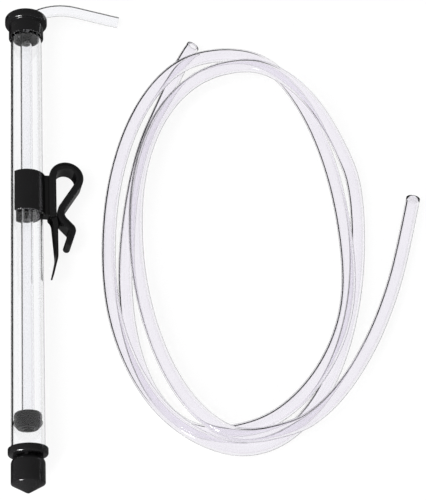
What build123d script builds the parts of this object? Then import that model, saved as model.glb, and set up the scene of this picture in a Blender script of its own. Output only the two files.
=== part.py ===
from build123d import *
from math import asin, atan2, cos, degrees, hypot, pi, radians, sin, sqrt
import os

# A hand-pumped transfer siphon, lying on its side: a clear pump tube along +Y, a bent cane
# through its cap with a piston seal on the end, a foot with a check valve and a sediment
# tip, a bucket clip on the tube, and a loose coil of clear hose beside it. Millimetres,
# +Z up. The axial stations below are measured along the pump tube from the underside of
# the foot's flange. The origin is under the middle of the siphon, on the table.

# pump tube
tube_od = 25.4
tube_wall = 1.6
tube_length = 368.3

# foot, pressed round the lower end of the pump tube
foot_flange_od = 30.0
foot_flange_height = 5.8
foot_flange_round = 1.8
foot_socket_depth = 3.0
foot_floor_left = 1.0
neck_od = 13.0
neck_bore = 9.0
neck_length = 14.0
rib_count = 4
rib_width = 2.4
tip_gap = 2.1

# check valve in the foot
valve_disc_od = 16.0
valve_disc_thickness = 1.0
valve_play = 1.0
cage_rim = 1.8
cage_height = 2.5
cage_arm = 2.0
cage_arm_count = 3
cage_arm_height = 1.0

# sediment tip, a cup over the ribs of the neck
tip_od = 25.5
tip_bore = 19.6
tip_height = 19.5
tip_shoulder = 2.4
tip_shoulder_height = 4.2
tip_shoulder_arc = 5.0
tip_edge_round = 1.2
tip_cone_height = 6.6
tip_nose_radius = 3.0
tip_floor = 3.2

# end cap
cap_flange_od = 35.0
cap_flange_height = 7.5
cap_skirt_od = 28.6
cap_length = 19.5
cap_grip = 8.6
cap_hole_clearance = 0.8
cap_mouth_od = 23.4
cap_mouth_depth = 8.0
cap_top_round = 1.8
cap_under_round = 2.2
cap_cove = 0.8

# cane: straight through the cap, then a tight and a gentle bend to the outlet
cane_od = 9.525
cane_bore = 7.1
bend_sink = 11.4
bend_radius = 18.0
bend_angle = 60.0
sweep_radius = 45.0
sweep_angle = 43.0
outlet_length = 37.0

# piston seal on the cane's lower end
seal_above_foot = 14.6
seal_height = 12.3
seal_lip_height = 3.4
seal_band_height = 1.4
seal_body_inset = 0.6
seal_crown_inset = 1.1
seal_crown_height = 2.4
seal_edge = 0.9
seal_groove_count = 3
seal_groove_pitch = 1.3
seal_groove_width = 0.4
seal_groove_depth = 0.3
seal_face_od = 15.6
seal_socket_floor = 2.0
seal_land_od = 9.4
seal_land_height = 0.6

# bucket clip: a split sleeve, a web to the back plate, a sprung hook and a leaf
clip_above_foot = 190.8
clip_length = 35.0
clip_wall = 2.0
clip_opening = 94.0
clip_mouth_turn = 5.0
clip_rim_round = 0.7
web_width = 9.0
plate_right = 22.6
plate_thickness = 5.6
hook_width = 15.0
hook_thickness = 5.6
hook_edge = 0.4
hook_end_round = 2.6
arch_radius = 11.0
arch_above_sleeve = -2.3
pinch_gap = 0.7
pinch_height = 1.4
pinch_radius = 10.0
curl_centre = (30.5, -13.9)
curl_radius = 4.5
curl_heading = -107.6
curl_straight = 12.2
groove_width = 2.2
groove_depth = 0.9
groove_stop = 3.5
leaf_width = 11.0
leaf_root = 3.0
leaf_waist = 1.8
leaf_point = 1.3
leaf_swell = 1.3
leaf_root_below = 6.4
leaf_straight = 30.0
leaf_lean = (-3.7, -15.6)
leaf_bend_radius = 22.0
leaf_root_round = 4.0

# fits
slide_clearance = 0.08
turn_clearance = 0.04
seal_clearance = 0.05
rest_gap = 0.3
table_clearance = 0.08

# clear hose, loose on the table
hose_od = 11.1
hose_bore = 7.94
hose_lay_gap = 0.5
hose_floor = hose_od / 2
hose_over = hose_floor + hose_od + hose_lay_gap
hose_start = (108.0, 171.0, hose_floor)
hose_start_heading = 245.0
# the outermost points of the laps in the order the hose runs: left, bottom, right, top
lap_points = [
    (46.5, -8.0, hose_floor),
    (124.0, -169.5, hose_floor),
    (218.5, -10.0, hose_floor),
    (131.5, 155.5, 10.5),
    (31.0, -17.0, hose_floor),
    (125.0, -184.5, hose_floor),
    (232.0, 0.0, hose_floor),
    (146.0, 141.0, hose_over + 0.6),
    (54.0, -1.0, hose_over),
    (139.0, -177.0, hose_over),
]
# where a lap passes over another between two of those points: the lap point before it,
# how far round its quarter turn in degrees, and the height
lap_crossings = {3: (20.0, hose_over + 0.4), 6: (64.0, hose_over + 4.2)}
lap_end_share = 0.55
# the free end, from the last lap point out over the laps and down to the table
tail_points = [
    (172.0, -177.0, hose_over),
    (193.0, -169.5, hose_over),
    (213.0, -154.5, 17.4),
    (230.0, -131.5, 14.0),
    (245.0, -98.0, 8.0),
    (257.5, -60.0, hose_floor),
    (268.0, -22.0, hose_floor),
    (278.3, 18.0, hose_floor),
]

# sizes and stations that follow
tube_radius = tube_od / 2
tube_bore_radius = tube_radius - tube_wall
cane_radius = cane_od / 2
cap_radius = cap_flange_od / 2
axis_height = cap_radius + table_clearance
foot_floor = foot_flange_height - foot_socket_depth
tube_top = foot_floor + tube_length
cap_bottom = tube_top - cap_grip
cap_top = cap_bottom + cap_length
bend_start = cap_top - bend_sink
seal_bottom = foot_flange_height + seal_above_foot
clip_bottom = foot_flange_height + clip_above_foot
cane_bottom = seal_bottom + seal_socket_floor
along = Axis.Y


def ring(outer, inner, bottom, top):
    """A plain tube about the siphon's axis between two stations; inner 0 makes it solid."""
    with BuildPart() as part:
        with BuildSketch(Plane.XZ):
            Circle(outer)
            if inner:
                Circle(inner, mode=Mode.SUBTRACT)
        extrude(amount=-(top - bottom))
    return Pos(0, bottom, 0) * part.part


def turned(points):
    """A solid of revolution about the siphon's axis from (radius, station) corners."""
    with BuildPart() as part:
        with BuildSketch():
            with BuildLine():
                Polyline(*points, close=True)
            make_face()
        revolve(axis=along)
    return part.part


def rims_at(solid, station, radius):
    """The circular edges of a solid at a station and radius."""
    return [
        edge for edge in solid.edges().filter_by(GeomType.CIRCLE)
        if abs(edge.arc_center.Y - station) < 0.01 and abs(edge.radius - radius) < 0.01
    ]


def make_outer_tube():
    return ring(tube_radius, tube_bore_radius, foot_floor, tube_top)


def make_foot():
    """Socket collar, valve seat, neck and the ribs that carry the tip."""
    socket = tube_radius + turn_clearance
    seat_recess = valve_disc_od / 2 + valve_play
    flange = ring(foot_flange_od / 2, 0, 0, foot_flange_height)
    flange = fillet(rims_at(flange, 0, foot_flange_od / 2), foot_flange_round)
    flange = fillet(rims_at(flange, foot_flange_height, foot_flange_od / 2), foot_flange_round / 2)
    flange -= ring(socket, 0, foot_floor, foot_flange_height + 1)
    flange -= ring(seat_recess, 0, foot_floor_left, foot_floor + 1)
    neck = ring(neck_od / 2, 0, -neck_length, 0)
    rib_reach = tip_bore / 2 - turn_clearance
    pad_reach = rib_reach + 1.5
    ribs = Part()
    for number in range(rib_count):
        turn = Rot(0, number * 360 / rib_count, 0)
        rib = Pos(pad_reach / 2, -neck_length / 2, 0) * Box(pad_reach, neck_length, rib_width)
        ribs += turn * rib
    ribs = ribs & (
        ring(rib_reach, 0, -neck_length, 0) + ring(pad_reach, 0, -tip_gap + rest_gap, 0)
    )
    body = flange + neck + ribs
    return body - ring(neck_bore / 2, 0, -neck_length - 1, foot_floor_left + 1)


def make_valve_disc():
    disc = ring(valve_disc_od / 2, 0, 0, valve_disc_thickness)
    disc = chamfer(rims_at(disc, valve_disc_thickness, valve_disc_od / 2), 0.25)
    return Pos(0, foot_floor_left + turn_clearance, 0) * disc


def make_valve_cage():
    """A ring with arms inside the tube's end, which stops the disc."""
    outer = tube_bore_radius - turn_clearance
    inner = outer - cage_rim
    cage = ring(outer, inner, foot_floor, foot_floor + cage_height)
    arms = Part()
    for number in range(cage_arm_count):
        arm = Pos(inner / 2 + 0.4, 0, 0) * Box(inner + 0.8, cage_arm_height, cage_arm)
        arms += Rot(0, 30 + number * 360 / cage_arm_count, 0) * arm
    arms = Pos(0, foot_floor + cage_height - cage_arm_height / 2, 0) * arms
    return cage + arms


def make_sediment_tip():
    """A cup with a shouldered rim and a blunt cone for a nose."""
    outer = tip_od / 2
    bottom = -tip_gap - tip_height
    apex = bottom - tip_cone_height
    slant = atan2(outer, tip_cone_height)
    nose_drop = tip_nose_radius / sin(slant) - tip_nose_radius
    touch = tip_nose_radius * cos(slant)
    centre = apex + tip_nose_radius
    with BuildPart() as part:
        with BuildSketch():
            with BuildLine():
                start = (0, apex)
                nose_end = (touch, centre - tip_nose_radius * sin(slant))
                RadiusArc(start, nose_end, -tip_nose_radius)
                shoulder = (outer, -tip_gap - tip_shoulder_height)
                rim = (outer - tip_shoulder, -tip_gap)
                Polyline(nose_end, (outer, bottom + nose_drop), shoulder)
                RadiusArc(shoulder, rim, -tip_shoulder_arc)
                Polyline(rim, (0, -tip_gap), start)
            make_face()
        revolve(axis=along)
    tip = fillet(rims_at(part.part, bottom + nose_drop, outer), tip_edge_round)
    tip -= ring(tip_bore / 2, 0, bottom + tip_floor, 1)
    return tip


def make_end_cap():
    """Skirt over the tube, flange and a mouth that opens towards the bend of the cane."""
    flange_bottom = cap_top - cap_flange_height
    hole = cane_radius + cap_hole_clearance
    mouth_bottom = cap_top - cap_mouth_depth
    cap = ring(cap_skirt_od / 2, 0, cap_bottom, flange_bottom + 1)
    cap += ring(cap_radius, 0, flange_bottom, cap_top)
    cap = fillet(rims_at(cap, cap_top, cap_radius), cap_top_round)
    cap = fillet(rims_at(cap, flange_bottom, cap_radius), cap_under_round)
    cap = fillet(rims_at(cap, flange_bottom, cap_skirt_od / 2), cap_cove)
    cap -= ring(tube_radius + turn_clearance, 0, cap_bottom - 1, tube_top + rest_gap)
    cap = chamfer(rims_at(cap, cap_bottom, tube_radius + turn_clearance), 0.5)
    cap -= ring(hole, 0, cap_bottom, cap_top + 1)
    cap -= turned([
        (0, mouth_bottom), (hole, mouth_bottom), (cap_mouth_od / 2, cap_top),
        (cap_mouth_od / 2, cap_top + 1), (0, cap_top + 1),
    ])
    return cap


def cane_path():
    """The cane's centreline in the plane of its bend, from the seal to the outlet."""
    gentle = bend_angle + sweep_angle
    with BuildLine() as path:
        straight = Line((0, cane_bottom + turn_clearance), (0, bend_start))
        tight = CenterArc((bend_radius, bend_start), bend_radius, 180, -bend_angle)
        middle = tight @ 1
        out = Vector(cos(radians(180 - bend_angle)), sin(radians(180 - bend_angle)))
        hub = middle - out * sweep_radius
        sweep_arc = CenterArc((hub.X, hub.Y), sweep_radius, 180 - bend_angle, -sweep_angle)
        ahead = Vector(sin(radians(gentle)), cos(radians(gentle)))
        Line(sweep_arc @ 1, (sweep_arc @ 1) + ahead * outlet_length)
    return path.wire()


def swept_tube(path, outer, inner):
    """A tube of constant section along a wire."""
    start = Plane(origin=path @ 0, z_dir=path % 0)
    solid = sweep(start * Circle(outer), path=path)
    return solid - sweep(start * Circle(inner), path=path)


def droop(reach, half_depth):
    """The turn about the tube that lays something this far out on the table, in degrees."""
    far = hypot(reach, half_depth)
    return degrees(asin((axis_height - table_clearance) / far) - atan2(half_depth, reach))


def make_cane():
    path = cane_path()
    cane = swept_tube(path, cane_radius, cane_bore / 2)
    return Rot(0, droop((path @ 1).X, cane_radius), 0) * cane


def make_piston_seal():
    """A rubber plug on the cane's end, widest at its lip, with fine grooves round its body."""
    lip = tube_bore_radius - seal_clearance
    body = lip - seal_body_inset
    crown = lip - seal_crown_inset
    lip_low = seal_lip_height
    lip_high = seal_lip_height + seal_band_height
    seal = turned([
        (0, 0), (seal_face_od / 2, 0), (lip, lip_low), (lip, lip_high), (body, lip_high + seal_edge),
        (body, seal_height - seal_crown_height), (crown, seal_height - seal_edge),
        (crown - seal_edge, seal_height), (0, seal_height),
    ])
    for number in range(seal_groove_count):
        low = lip_high + seal_edge + (number + 0.5) * seal_groove_pitch
        seal -= ring(tube_bore_radius, body - seal_groove_depth, low, low + seal_groove_width)
    seal += ring(seal_land_od / 2, 0, -seal_land_height, seal_socket_floor / 2)
    seal -= ring(cane_radius + turn_clearance, 0, seal_socket_floor, seal_height + 1)
    seal -= ring(cane_bore / 2, 0, -seal_land_height - 1, seal_socket_floor + 1)
    return Pos(0, seal_bottom, 0) * seal


def crossing(start, end, radii, side):
    """The heading of a line that runs tangent between two bends which turn opposite ways."""
    span = end - start
    return degrees(atan2(span.Y, span.X) + side * asin(radii / span.length))


def hook_path(low, free_end):
    """The middle of the hook's strip: up the back plate, over the arch, past the pinch, to the curl."""
    plate_middle = plate_right - plate_thickness / 2
    arch = Vector(plate_middle + arch_radius, clip_length + arch_above_sleeve)
    pinch = Vector(plate_right + pinch_gap + hook_thickness / 2 + pinch_radius, pinch_height)
    curl = Vector(*curl_centre)
    down = crossing(arch, pinch, arch_radius + pinch_radius, -1)
    out = crossing(pinch, curl, pinch_radius + curl_radius, 1)
    last = Vector(cos(radians(curl_heading)), sin(radians(curl_heading)))
    with BuildLine() as path:
        Line((plate_middle, low), (plate_middle, arch.Y))
        over = CenterArc(arch, arch_radius, 180, down - 90)
        nip = CenterArc(pinch, pinch_radius, down - 90, out - down)
        bend = CenterArc(curl, curl_radius, out + 90, curl_heading - out)
        Line(over @ 1, nip @ 0)
        Line(nip @ 1, bend @ 0)
        Line(bend @ 1, (bend @ 1) + last * free_end)
    return path.wire()


def strip(path, thickness, depth):
    """A strip of even thickness along a path, centred on the clip's middle plane."""
    outline = make_face(offset(path, thickness / 2, side=Side.BOTH).edges())
    return Pos(0, 0, -depth / 2) * extrude(outline, depth)


def slab(left, right, low, high, depth):
    """A block of the clip between two offsets and two heights, centred on its middle plane."""
    return Pos((left + right) / 2, (low + high) / 2, 0) * Box(right - left, high - low, depth)


def make_hook():
    """The sprung hook: a strip with softened edges, a round end and a groove on each side."""
    path = hook_path(0, curl_straight - hook_end_round)
    end = extrude(SlotOverall(hook_thickness, 2 * hook_end_round), hook_width)
    hook = strip(path, hook_thickness, hook_width)
    hook += Pos((path @ 1).X, (path @ 1).Y, -hook_width / 2) * Rot(0, 0, curl_heading + 90) * end
    for side in (-1, 0):
        hook = chamfer(hook.faces().sort_by(Axis.Z)[side].edges(), hook_edge)
    groove_low = clip_length + arch_above_sleeve - groove_width
    groove_path = hook_path(groove_low, curl_straight - groove_stop)
    groove = strip(groove_path, groove_width, groove_depth)
    for side in (1, -1):
        hook -= Pos(0, 0, side * (hook_width - groove_depth) / 2) * groove
    return hook


def make_leaf():
    """The leaf below the back plate: thick at its root, bent in at its point."""
    right = plate_right + leaf_swell
    knee = -leaf_root_below - leaf_straight
    point = (right + leaf_lean[0], knee + leaf_lean[1])
    root = plate_right - plate_thickness
    with BuildPart() as leaf:
        with BuildSketch():
            with BuildLine():
                side = FilletPolyline(
                    (plate_right, 0), (right, -leaf_root_below), (right, knee), point,
                    radius=[leaf_bend_radius, leaf_bend_radius],
                )
                back = FilletPolyline(
                    (point[0] - leaf_point, point[1]), (right - leaf_waist, knee),
                    (plate_right - leaf_root, -leaf_root_below), (root, 0),
                    radius=[leaf_bend_radius, leaf_root_round],
                )
                Line(side @ 1, back @ 0)
                Line(back @ 1, side @ 0)
            make_face()
        extrude(amount=leaf_width / 2, both=True)
    return leaf.part


def make_bucket_clip():
    """Split sleeve, web, back plate, hook and leaf in one moulding."""
    bore = tube_radius + slide_clearance
    outer = bore + clip_wall
    plate_left = plate_right - plate_thickness
    sleeve = ring(outer, 0, 0, clip_length)
    sleeve = fillet(rims_at(sleeve, 0, outer) + rims_at(sleeve, clip_length, outer), clip_rim_round)
    body = sleeve + slab(bore / 2, plate_left + leaf_root, 0, clip_length, web_width)
    body += slab(plate_left, plate_right, 0, clip_length + arch_above_sleeve, hook_width)
    body += make_hook()
    body += make_leaf()
    body -= ring(bore, 0, -1, clip_length + 1)
    wedge_reach = outer * 2
    wedge_angle = radians(clip_opening / 2)
    with BuildPart() as wedge:
        with BuildSketch(Plane.XZ):
            with BuildLine():
                Polyline(
                    (0, 0), (-wedge_reach * cos(wedge_angle), wedge_reach * sin(wedge_angle)),
                    (-wedge_reach * cos(wedge_angle), -wedge_reach * sin(wedge_angle)), close=True,
                )
            make_face()
        extrude(amount=-(clip_length + 2))
    body -= Pos(0, -1, 0) * Rot(0, -clip_mouth_turn, 0) * wedge.part
    reach = plate_right - plate_thickness / 2 + 2 * arch_radius + hook_thickness / 2
    return Rot(0, droop(reach, hook_width / 2), 0) * (Pos(0, clip_bottom, 0) * body)


def unit(x, y, z=0.0):
    return Vector(x, y, z).normalized()


def biarc(start, start_way, end, end_way, start_share):
    """Two tangent arcs between two points; the first tangent length is start_share of the second."""
    span = end - start
    a = 2 * start_share * (start_way.dot(end_way) - 1)
    b = -2 * (span.dot(start_way) * start_share + span.dot(end_way))
    c = span.dot(span)
    reach = (-b - sqrt(b * b - 4 * a * c)) / (2 * a) if abs(a) > 1e-6 else -c / b
    first = start + start_way * (reach * start_share)
    second = end - end_way * reach
    join = first + (second - first) * (start_share / (1 + start_share))
    return [TangentArc(start, join, tangent=start_way), TangentArc(join, end, tangent=second - first)]


def quarter_point(start, end, angle, height):
    """A point and heading part of the way round the quarter ellipse between two lap points."""
    turn = radians(angle)
    ends_first = start[2] == "y"
    (x0, y0), (x1, y1) = start[:2], end[:2]
    if ends_first:
        x, y = x0 + (x1 - x0) * sin(turn), y1 + (y0 - y1) * cos(turn)
        way = unit((x1 - x0) * cos(turn), -(y0 - y1) * sin(turn))
    else:
        x, y = x1 + (x0 - x1) * cos(turn), y0 + (y1 - y0) * sin(turn)
        way = unit(-(x0 - x1) * sin(turn), (y1 - y0) * cos(turn))
    return Vector(x, y, height), way


def coil_path():
    """The laps: a short straight end, then quarter turns from one lap point to the next."""
    heading = radians(hose_start_heading)
    way = unit(cos(heading), sin(heading))
    start = Vector(*hose_start)
    point = start + way * hose_od
    arcs = [Line(start, point)]
    ways = [(0, -1), (1, 0), (0, 1), (-1, 0)]
    share = 1.0
    for number, lap_point in enumerate(lap_points):
        goal = Vector(*lap_point)
        goal_way = unit(*ways[number % 4])
        if number:
            share = lap_end_share if number % 2 == 0 else 1 / lap_end_share
        if number - 1 in lap_crossings:
            angle, height = lap_crossings[number - 1]
            last = lap_points[number - 1]
            kind = "y" if number % 2 == 0 else "x"
            middle, middle_way = quarter_point((last[0], last[1], kind), lap_point, angle, height)
            arcs += biarc(point, way, middle, middle_way, 1.0)
            arcs += biarc(middle, middle_way, goal, goal_way, 1.0)
        else:
            arcs += biarc(point, way, goal, goal_way, share)
        point, way = goal, goal_way
    arcs.append(Line(point, point + way * hose_od))
    return Wire(arcs)


def tail_corners():
    """The free end's route and the largest radius that its runs leave at each corner."""
    last = Vector(*lap_points[-1]) + Vector(hose_od, 0, 0)
    route = [last] + [Vector(*point) for point in tail_points]
    radii = []
    for before, corner, after in zip(route, route[1:], route[2:]):
        turn = radians((corner - before).get_angle(after - corner))
        shorter = min((corner - before).length, (after - corner).length)
        radii.append(0.45 * shorter / (sin(turn / 2) / cos(turn / 2)))
    return route, radii


def self_gap(path):
    """The least gap between laps, from points along the path."""
    count = int(path.length / 5)
    points = [path.position_at(number / count) for number in range(count + 1)]
    skip = int(8 * hose_od / 5)
    return min(
        (points[i] - points[j]).length for i in range(len(points)) for j in range(i + skip, len(points))
    ) - hose_od


def make_tubing_coil():
    path = coil_path()
    section = pi * (hose_od ** 2 - hose_bore ** 2) / 4
    coil = swept_tube(path, hose_od / 2, hose_bore / 2)
    print("coil length", round(path.length, 1), "least gap", round(self_gap(path), 2),
          "volume over section x length", round(coil.volume / (section * path.length), 4))
    return coil


def make_tubing_tail():
    route, radii = tail_corners()
    with BuildLine() as line:
        FilletPolyline(*route, radius=radii)
    path = line.wire()
    section = pi * (hose_od ** 2 - hose_bore ** 2) / 4
    tail = swept_tube(path, hose_od / 2, hose_bore / 2)
    print("tail length", round(path.length, 1), "radii", [round(r) for r in radii],
          "volume over section x length", round(tail.volume / (section * path.length), 4))
    return tail


siphon = {
    "outer_tube": make_outer_tube(),
    "foot": make_foot(),
    "valve_disc": make_valve_disc(),
    "valve_cage": make_valve_cage(),
    "sediment_tip": make_sediment_tip(),
    "end_cap": make_end_cap(),
    "cane": make_cane(),
    "piston_seal": make_piston_seal(),
    "bucket_clip": make_bucket_clip(),
}
siphon = {name: Pos(0, 0, axis_height) * solid for name, solid in siphon.items()}
boxes = [solid.bounding_box() for solid in siphon.values()]
middle_x = (min(box.min.X for box in boxes) + max(box.max.X for box in boxes)) / 2
middle_y = (min(box.min.Y for box in boxes) + max(box.max.Y for box in boxes)) / 2
to_origin = Pos(-middle_x, -middle_y, 0)
nodes = {name: to_origin * solid for name, solid in siphon.items()}
nodes["tubing_coil"] = make_tubing_coil()
nodes["tubing_tail"] = make_tubing_tail()

os.makedirs("parts", exist_ok=True)
for name, solid in nodes.items():
    export_step(solid, f"parts/{name}.step")
print("axis at x", round(to_origin.position.X, 3), "z", round(axis_height, 3),
      "foot underside at y", round(to_origin.position.Y, 3))
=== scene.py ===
from math import cos, radians, sin

import bpy
import bmesh
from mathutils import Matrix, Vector


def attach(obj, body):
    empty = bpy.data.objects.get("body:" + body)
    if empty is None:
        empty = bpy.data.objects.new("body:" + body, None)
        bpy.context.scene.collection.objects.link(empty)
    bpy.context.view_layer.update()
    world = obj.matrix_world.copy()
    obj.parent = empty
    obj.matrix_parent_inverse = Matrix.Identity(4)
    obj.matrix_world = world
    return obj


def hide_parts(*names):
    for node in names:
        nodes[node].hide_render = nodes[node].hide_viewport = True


mm = 0.001
white = (1.0, 1.0, 1.0, 1.0)
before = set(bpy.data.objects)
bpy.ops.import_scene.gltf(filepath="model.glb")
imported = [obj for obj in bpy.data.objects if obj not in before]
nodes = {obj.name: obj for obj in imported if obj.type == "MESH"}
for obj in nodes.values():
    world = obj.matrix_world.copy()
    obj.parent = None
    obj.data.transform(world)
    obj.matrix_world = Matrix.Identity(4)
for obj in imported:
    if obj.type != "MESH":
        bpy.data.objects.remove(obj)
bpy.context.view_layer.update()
scene = bpy.context.scene
print("frame loaded:", len(nodes), "nodes")


# node helpers, shared by the materials and the studio
def link(tree, source, sourceSocket, target, targetSocket):
    tree.links.new(source.outputs[sourceSocket], target.inputs[targetSocket])


def newNode(tree, kind, **values):
    node = tree.nodes.new("ShaderNode" + kind)
    for socket, value in values.items():
        node.inputs[socket].default_value = value
    return node


def newMaterial(name):
    material = bpy.data.materials.new(name)
    material.use_nodes = True
    tree = material.node_tree
    return material, tree, tree.nodes["Principled BSDF"]


def objectNoise(tree, scale, detail, stretch=(1.0, 1.0, 1.0)):
    place = newNode(tree, "TexCoord")
    mapping = newNode(tree, "Mapping", Scale=stretch)
    noise = newNode(tree, "TexNoise", Scale=scale, Detail=detail)
    link(tree, place, "Object", mapping, "Vector")
    link(tree, mapping, "Vector", noise, "Vector")
    return noise


def spread(tree, source, sourceSocket, low, high, start=0.3, end=0.7):
    ramp = tree.nodes.new("ShaderNodeMapRange")
    limits = {"From Min": start, "From Max": end, "To Min": low, "To Max": high}
    for socket, value in limits.items():
        ramp.inputs[socket].default_value = value
    link(tree, source, sourceSocket, ramp, "Value")
    return ramp


def tinted(tree, mask, colour, otherColour, shader):
    tint = tree.nodes.new("ShaderNodeMix")
    tint.data_type = "RGBA"
    tint.inputs["A"].default_value = colour
    tint.inputs["B"].default_value = otherColour
    link(tree, mask, "Fac", tint, "Factor")
    link(tree, tint, "Result", shader, "Base Color")


def bumped(tree, relief, strength, height, shader):
    bump = newNode(tree, "Bump", Strength=strength, Distance=height)
    link(tree, relief, "Fac", bump, "Height")
    link(tree, bump, "Normal", shader, "Normal")


# moulded black plastic of the cap, clip, foot and tip
blackPlastic = {
    "colour": (0.0042, 0.0041, 0.0043, 1.0),
    "paleColour": (0.0068, 0.0066, 0.007, 1.0),
    "roughness": (0.13, 0.2),
    "ior": 1.46,
    "specular": 0.5,
    "cloudScale": 60.0,
    "grainScale": 900.0,
    "grainDetail": 4.0,
    "grainStrength": 0.15,
    "grainHeight": 0.00002,
}
# dark grey rubber of the seal and the valve disc
darkRubber = {
    "colour": (0.006, 0.0058, 0.0064, 1.0),
    "paleColour": (0.014, 0.0136, 0.0145, 1.0),  # where dust dulls it
    "roughness": (0.34, 0.42),
    "ior": 1.5,
    "specular": 0.1,
    "cloudScale": 130.0,
    "grainScale": 1400.0,
    "grainDetail": 5.0,
    "grainStrength": 0.3,
    "grainHeight": 0.000003,
}
cloudDetail = 3.0


def makeMoulded(name, settings):
    material, tree, shader = newMaterial(name)
    shader.inputs["IOR"].default_value = settings["ior"]
    shader.inputs["Specular IOR Level"].default_value = settings["specular"]
    clouds = objectNoise(tree, settings["cloudScale"], cloudDetail)
    grain = objectNoise(tree, settings["grainScale"], settings["grainDetail"])
    tinted(tree, clouds, settings["colour"], settings["paleColour"], shader)
    rough = spread(tree, clouds, "Fac", *settings["roughness"])
    link(tree, rough, "Result", shader, "Roughness")
    bumped(tree, grain, settings["grainStrength"], settings["grainHeight"], shader)
    return material


# rigid clear plastic of the pump tube and the cane, with draw lines along them
clearTube = {
    "tint": (0.998, 0.998, 1.0, 1.0),
    "deepTint": (0.98, 0.985, 0.995, 1.0),
    "ior": 1.49,
    "drawScale": 22.0,
    "drawStretch": (1.0, 0.04, 1.0),
    "drawHeight": 0.0000005,
}
clearCane = {
    "tint": (0.99, 0.99, 1.0, 1.0),
    "deepTint": (0.965, 0.968, 0.985, 1.0),
    "ior": 1.49,
    "drawScale": 30.0,
    "drawStretch": (1.0, 0.04, 1.0),
    "drawHeight": 0.0000005,
}
# soft clear hose with its faint lilac tint
clearHose = {
    "tint": (0.965, 0.955, 0.98, 1.0),
    "deepTint": (0.93, 0.915, 0.95, 1.0),
    "ior": 1.5,
    "drawScale": 45.0,
    "drawStretch": (1.0, 1.0, 1.0),
    "drawHeight": 0.000001,
}
drawDetail = 2.0
drawStrength = 0.2


def makeClear(name, settings):
    material, tree, shader = newMaterial(name)
    shader.inputs["Roughness"].default_value = 0.0
    shader.inputs["IOR"].default_value = settings["ior"]
    shader.inputs["Transmission Weight"].default_value = 1.0
    waves = objectNoise(tree, settings["drawScale"], drawDetail, settings["drawStretch"])
    tinted(tree, waves, settings["tint"], settings["deepTint"], shader)
    bumped(tree, waves, drawStrength, settings["drawHeight"], shader)
    return material


plasticMaterial = makeMoulded("mouldedBlackPlastic", blackPlastic)
hoseMaterial = makeClear("clearHoseVinyl", clearHose)
finishes = {
    "outer_tube": makeClear("clearTubePlastic", clearTube),
    "cane": makeClear("clearCanePlastic", clearCane),
    "foot": plasticMaterial,
    "valve_cage": plasticMaterial,
    "sediment_tip": plasticMaterial,
    "end_cap": plasticMaterial,
    "bucket_clip": plasticMaterial,
    "piston_seal": makeMoulded("sealRubber", darkRubber),
    "valve_disc": makeMoulded("valveRubber", darkRubber),
}
shading = {"weldDistance": 0.000002, "creaseAngle": 32}


def smoothNode(piece):
    for polygon in piece.data.polygons:
        polygon.use_smooth = True
    weld = piece.modifiers.new("weld", "WELD")
    weld.merge_threshold = shading["weldDistance"]
    split = piece.modifiers.new("creases", "EDGE_SPLIT")
    split.split_angle = radians(shading["creaseAngle"])
    split.use_edge_sharp = False


for name, material in finishes.items():
    piece = nodes[name]
    piece.data.materials.clear()
    piece.data.materials.append(material)
    smoothNode(piece)
print("finishes given to", len(finishes), "nodes")

# the loose hose: a bare start, laps through quarter ellipses, then the free end
# every point is the hose's middle in mm, and 5.55 high is a strand that lies on the table
hose = {
    "od": 11.1,
    "wall": 1.58,
    "start": [(109.0, 170.5, 5.55), (99.5, 156.5, 5.55), (84.0, 121.5, 5.55), (60.0, 68.0, 5.55)],
    "laps": [
        (45.0, -14.5, 5.55), (117.0, -173.0, 5.55), (221.0, -43.0, 16.0), (136.0, 159.5, 10.5),
        (31.0, -23.0, 5.55), (132.5, -188.0, 5.55), (234.5, 26.0, 5.55), (152.0, 144.0, 17.75),
        (53.5, -21.5, 17.15), (128.5, -180.5, 17.15),
    ],
    "fullness": [8.0, -0.5, 4.5, 1.0, 2.5, 0.0, -6.5, 4.5, -2.5],  # how far each quarter swells
    "pointsPerQuarter": 4,
    "humps": {  # (quarter, step): height where a strand climbs over others
        (1, 1): 6.5, (1, 2): 15.0, (1, 3): 17.3, (2, 1): 7.0, (2, 2): 5.55, (3, 1): 18.0, (3, 2): 14.5,
        (4, 1): 17.5, (4, 2): 17.0, (4, 3): 17.5, (6, 2): 20.0, (6, 3): 21.4, (8, 3): 22.0,
    },
    "tail": [
        (170.0, -173.0, 17.15), (188.0, -162.0, 17.15), (204.0, -147.0, 17.4), (219.5, -126.5, 14.0),
        (237.5, -96.5, 8.0), (254.5, -59.0, 5.55), (267.0, -22.0, 5.55), (278.3, 16.5, 5.55),
    ],
    "sides": 28,
    "stepsPerPoint": 16,
    "weldDistance": 0.000001,
}


def quarterPoint(start, end, share, number):
    turn = radians(90 * share)
    fuller = hose["fullness"][number] * sin(2 * turn)
    if number % 2:  # quarters that leave the near or far end of the coil
        x = start[0] + (end[0] - start[0]) * sin(turn)
        y = end[1] + (start[1] - end[1]) * cos(turn)
    else:
        x = end[0] + (start[0] - end[0]) * cos(turn)
        y = start[1] + (end[1] - start[1]) * sin(turn)
    right = 1 if number % 4 in (1, 2) else -1
    back = 1 if number % 4 in (2, 3) else -1
    return x + fuller * right, y + fuller * back


def hoseRoute():
    route = list(hose["start"])
    laps = hose["laps"]
    count = hose["pointsPerQuarter"]
    for number, (start, end) in enumerate(zip(laps, laps[1:])):
        route.append(start)
        for step in range(1, count):
            share = step / count
            x, y = quarterPoint(start, end, share, number)
            height = start[2] + (end[2] - start[2]) * share
            route.append((x, y, hose["humps"].get((number, step), height)))
    route.append(laps[-1])
    return [Vector(point) * mm for point in route + hose["tail"]]


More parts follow.
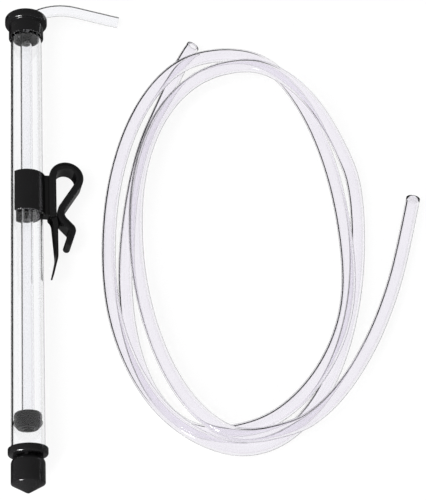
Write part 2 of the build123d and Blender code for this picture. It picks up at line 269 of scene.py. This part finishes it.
def hoseCurve(route, radius):
    data = bpy.data.curves.new("hoseLine", "CURVE")
    data.dimensions = "3D"
    spline = data.splines.new("NURBS")
    spline.points.add(len(route) - 1)
    for point, place in zip(spline.points, route):
        point.co = (*place, 1.0)
    spline.order_u = 3
    spline.use_endpoint_u = True
    spline.resolution_u = hose["stepsPerPoint"]
    data.resolution_u = hose["stepsPerPoint"]
    data.twist_mode = "MINIMUM"
    data.bevel_depth = radius
    data.bevel_resolution = (hose["sides"] - 4) // 2
    data.use_fill_caps = False
    return bpy.data.objects.new("hoseLine", data)


def meshOf(holder):
    scene.collection.objects.link(holder)
    bpy.context.view_layer.update()
    evaluated = holder.evaluated_get(bpy.context.evaluated_depsgraph_get())
    mesh = bpy.data.meshes.new_from_object(evaluated)
    bpy.data.objects.remove(holder)
    return mesh


def makeHose():
    route = hoseRoute()
    line = meshOf(hoseCurve(route, 0.0))
    path = [vertex.co.copy() for vertex in line.vertices]
    length = sum((b - a).length for a, b in zip(path, path[1:]))
    wallMesh = meshOf(hoseCurve(route, hose["od"] / 2 * mm))
    wallMesh.name = "hose"
    shell = bmesh.new()
    shell.from_mesh(wallMesh)
    bmesh.ops.remove_doubles(shell, verts=shell.verts, dist=hose["weldDistance"])
    bmesh.ops.recalc_face_normals(shell, faces=shell.faces)
    for face in shell.faces:
        face.smooth = True
    shell.to_mesh(wallMesh)
    shell.free()
    piece = bpy.data.objects.new("hose", wallMesh)
    scene.collection.objects.link(piece)
    wall = piece.modifiers.new("wall", "SOLIDIFY")  # gives the bore and the rings at both ends
    wall.thickness = hose["wall"] * mm
    wall.offset = -1.0
    wall.use_even_offset = True
    piece.data.materials.append(hoseMaterial)
    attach(piece, "siphon_tube")
    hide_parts("tubing_coil", "tubing_tail")
    return length


print("hose length", round(makeHose(), 4))

# floor, light and camera
studio = {
    "floorSize": 3.0,
    "floorPaint": (0.9, 0.9, 0.9, 1.0),
    "floorSeen": 0.9,  # share of plain white that the camera sees instead of the lit paint
    "worldDiffuse": 0.45,
    "worldGlossy": 0.18,
    "darkSide": (-0.75, 0.6, 0.28),  # clear edges that bend the view this way look dark
    "darkFade": (0.22, 0.3),
    "darkReach": (0.38, 0.48),
    "mirrored": (0.4, 0.6),  # only a ray mirrored inside a clear wall sees the dark
    "cameraPlace": (0.0867, -0.5156, 1.0703),
    "azimuth": 3.284,
    "depression": 65.004,
    "lens": 107.0,
    "sensor": 36.0,
    "clipStart": 0.01,
    "lamps": {
        "keyLamp": {"place": (-0.7, -0.25, 1.3), "aim": (0.05, 0.0, 0.0), "size": 0.7, "power": 16.0,
                    "glossy": False},
        "fillLamp": {"place": (0.9, 0.5, 1.2), "aim": (0.1, 0.0, 0.0), "size": 0.9, "power": 8.0,
                     "glossy": False},
        "lowLamp": {"place": (-0.5, -0.95, 0.3), "aim": (0.0, 0.0, 0.0), "size": 0.28, "power": 20.0,
                    "glossy": True},  # the one that puts highlights on the rims
    },
}


def mathOf(tree, operation, first, second):
    node = tree.nodes.new("ShaderNodeMath")
    node.operation = operation
    link(tree, *first, node, 0)
    link(tree, *second, node, 1)
    return node


def along(tree, place, axis):
    node = tree.nodes.new("ShaderNodeVectorMath")
    node.operation = "DOT_PRODUCT"
    node.inputs[1].default_value = axis
    link(tree, place, "Generated", node, 0)
    return node


def viewWay():
    around = radians(studio["azimuth"])
    down = radians(studio["depression"])
    return Vector((sin(around) * cos(down), cos(around) * cos(down), -sin(down)))


def mixed(tree, mask, maskSocket, plain, masked):
    node = newNode(tree, "MixShader")
    link(tree, mask, maskSocket, node, 0)
    link(tree, plain, 0, node, 1)
    link(tree, masked, 0, node, 2)
    return node


def makeFloor():
    form = bmesh.new()
    bmesh.ops.create_grid(form, x_segments=1, y_segments=1, size=studio["floorSize"] / 2)
    mesh = bpy.data.meshes.new("floor")
    form.to_mesh(mesh)
    form.free()
    floor = bpy.data.objects.new("floor", mesh)
    scene.collection.objects.link(floor)
    material = bpy.data.materials.new("whiteFloor")
    material.use_nodes = True
    tree = material.node_tree
    tree.nodes.clear()
    output = newNode(tree, "OutputMaterial")
    paint = newNode(tree, "BsdfDiffuse", Color=studio["floorPaint"])
    glow = newNode(tree, "Emission", Color=white, Strength=1.0)
    through = newNode(tree, "BsdfTransparent")
    path = newNode(tree, "LightPath")
    seen = spread(tree, path, "Is Camera Ray", 0.0, studio["floorSeen"], 0.0, 1.0)
    top = mixed(tree, seen, "Result", paint, glow)
    opened = mathOf(tree, "MAXIMUM", (path, "Is Glossy Ray"), (path, "Is Transmission Ray"))
    link(tree, mixed(tree, opened, "Value", top, through), "Shader", output, "Surface")
    mesh.materials.append(material)


def makeWorld():
    world = bpy.data.worlds.new("studio")
    scene.world = world
    world.use_nodes = True
    tree = world.node_tree
    tree.nodes.clear()
    output = newNode(tree, "OutputWorld")
    path = newNode(tree, "LightPath")
    place = newNode(tree, "TexCoord")
    soft = newNode(tree, "Background", Color=white, Strength=studio["worldDiffuse"])
    plain = newNode(tree, "Background", Color=white, Strength=1.0)
    gloss = newNode(tree, "Background", Color=white)
    clear = newNode(tree, "Background", Color=white)
    aside = spread(tree, along(tree, place, studio["darkSide"]), "Value", 0.0, 1.0, *studio["darkFade"])
    ahead = spread(tree, along(tree, place, viewWay()), "Value", 0.0, 1.0, *studio["darkReach"])
    inWall = spread(tree, path, "Glossy Depth", 0.0, 1.0, *studio["mirrored"])
    patch = mathOf(tree, "MULTIPLY", (aside, "Result"), (ahead, "Result"))
    dark = mathOf(tree, "MULTIPLY", (patch, "Value"), (inWall, "Result"))
    link(tree, spread(tree, dark, "Value", 1.0, 0.0), "Result", clear, "Strength")
    link(tree, spread(tree, dark, "Value", studio["worldGlossy"], 0.0), "Result", gloss, "Strength")
    shiny = mixed(tree, path, "Is Glossy Ray", soft, gloss)
    seen = mixed(tree, path, "Is Camera Ray", shiny, plain)
    link(tree, mixed(tree, path, "Is Transmission Ray", seen, clear), "Shader", output, "Surface")


def makeLamp(name, settings):
    data = bpy.data.lights.new(name, "AREA")
    data.shape = "SQUARE"
    data.size = settings["size"]
    data.energy = settings["power"]
    lamp = bpy.data.objects.new(name, data)
    lamp.location = settings["place"]
    aim = Vector(settings["aim"]) - lamp.location
    lamp.rotation_euler = aim.to_track_quat("-Z", "Y").to_euler()
    lamp.visible_glossy = settings["glossy"]
    lamp.visible_transmission = False  # no lamp streaks in the clear walls
    scene.collection.objects.link(lamp)


def makeCamera():
    data = bpy.data.cameras.new("camera")
    data.sensor_fit = "VERTICAL"
    data.sensor_height = studio["sensor"]
    data.lens = studio["lens"]
    data.clip_start = studio["clipStart"]
    camera = bpy.data.objects.new("camera", data)
    camera.location = studio["cameraPlace"]
    camera.rotation_euler = viewWay().to_track_quat("-Z", "Y").to_euler()
    scene.collection.objects.link(camera)
    scene.camera = camera


makeFloor()
makeWorld()
for name, settings in studio["lamps"].items():
    makeLamp(name, settings)
makeCamera()
scene.view_settings.view_transform = "Standard"
print("stage set")
